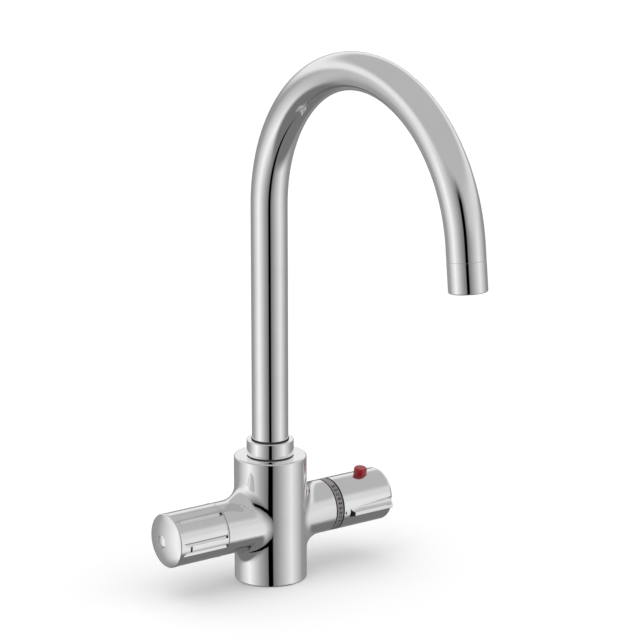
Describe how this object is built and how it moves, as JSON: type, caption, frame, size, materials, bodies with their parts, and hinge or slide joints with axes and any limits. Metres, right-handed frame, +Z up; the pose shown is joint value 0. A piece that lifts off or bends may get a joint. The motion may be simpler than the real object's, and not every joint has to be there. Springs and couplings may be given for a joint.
{
  "type": "thermostatic mixer tap",
  "caption": "Deck-mounted kitchen mixer tap with a swivelling swan-neck spout, a ribbed flow handle and a thermostatic knob with a red safety button.",
  "frame": {"origin": "centre of the round base on the deck, on the body's upright axis", "axes": "+Z up, the spout points to -Y at rest, +X towards the temperature knob"},
  "size_m": [0.1843, 0.2493, 0.3803],
  "materials": {
    "chrome": "bright plated",
    "scale_grey": "satin grey with dark numbers",
    "red_plastic": "glossy red",
    "brass": "machined",
    "steel": "stainless",
    "rubber": "moulded",
    "white_plastic": "moulded",
    "grey_plastic": "moulded",
    "ceramic": "lapped"
  },
  "bodies": {
    "body": {"body_casting": "chrome", "base_seal": "rubber", "hot_strainer": "steel", "cold_strainer": "steel", "hot_check_cage": "white_plastic", "cold_check_cage": "white_plastic", "hot_check_spring": "steel", "cold_check_spring": "steel", "spout_collar": "chrome", "collar_gasket": "rubber", "spout_wiper": "rubber", "spout_thrust_washer": "white_plastic", "spout_slip_ring": "white_plastic", "flow_cartridge_body": "brass", "flow_cartridge_o_ring": "rubber", "flow_seat_seal": "rubber", "fixed_ceramic_disc": "ceramic", "thermostat_housing": "brass", "thermostat_o_rings": "rubber", "thermostat_nut": "brass", "return_spring": "steel", "scale_ring": "scale_grey", "stop_ring": "grey_plastic"},
    "spout": {"spout_tube": "chrome", "spout_nipple": "brass", "spout_o_rings": "rubber", "aerator_housing": "chrome", "aerator_insert": "white_plastic", "aerator_screen": "steel", "aerator_washer": "rubber"},
    "flow_control": {"flow_handle": "chrome", "flow_index_cap": "chrome", "flow_handle_screw": "steel", "flow_spindle": "brass", "flow_spindle_o_rings": "rubber", "flow_spindle_clip": "steel", "turning_ceramic_disc": "ceramic"},
    "temperature_control": {"temperature_knob": "chrome", "knob_end_cap": "chrome", "knob_screw": "steel", "temperature_spindle": "brass", "temperature_spindle_o_ring": "rubber", "button_spring": "steel"},
    "button": {"override_button": "red_plastic"},
    "thermostat": {"thermostat_shuttle": "white_plastic", "wax_element": "brass", "pressure_nut": "brass", "overload_spring": "steel"},
    "hot_poppet": {"hot_check_poppet": "grey_plastic"},
    "cold_poppet": {"cold_check_poppet": "grey_plastic"}
  },
  "joints": [
    {"name": "spout_swivel", "type": "hinge", "parent": "body", "child": "spout", "pos_m": [0, 0, 0.1], "axis": [0, 0, 1], "continuous": true},
    {"name": "flow_turn", "type": "hinge", "parent": "body", "child": "flow_control", "pos_m": [-0.06, 0, 0.0427], "axis": [-1, 0, 0], "range_deg": [0, 90]},
    {"name": "temperature_turn", "type": "hinge", "parent": "body", "child": "temperature_control", "pos_m": [0.06, 0, 0.0427], "axis": [1, 0, 0], "range_deg": [-65, 55]},
    {"name": "override_press", "type": "slide", "parent": "temperature_control", "child": "button", "axis": [0, 0.1633, -0.9866], "range_m": [0, 0.0015], "stiffness_N_per_m": 600, "springref_m": -0.003, "deforming": ["button_spring"]},
    {"name": "thermostat_travel", "type": "slide", "parent": "body", "child": "thermostat", "axis": [1, 0, 0], "range_m": [-0.00072, 0.00061], "deforming": ["return_spring"]},
    {"name": "hot_check_lift", "type": "slide", "parent": "body", "child": "hot_poppet", "axis": [0, 0, 1], "range_m": [0, 0.002], "stiffness_N_per_m": 60, "springref_m": -0.003, "deforming": ["hot_check_spring"]},
    {"name": "cold_check_lift", "type": "slide", "parent": "body", "child": "cold_poppet", "axis": [0, 0, 1], "range_m": [0, 0.002], "stiffness_N_per_m": 60, "springref_m": -0.003, "deforming": ["cold_check_spring"]}
  ],
  "couplings": [
    {"joint": "thermostat_travel", "follows": "temperature_turn", "m_per_rad": 0.00063662}
  ]
}
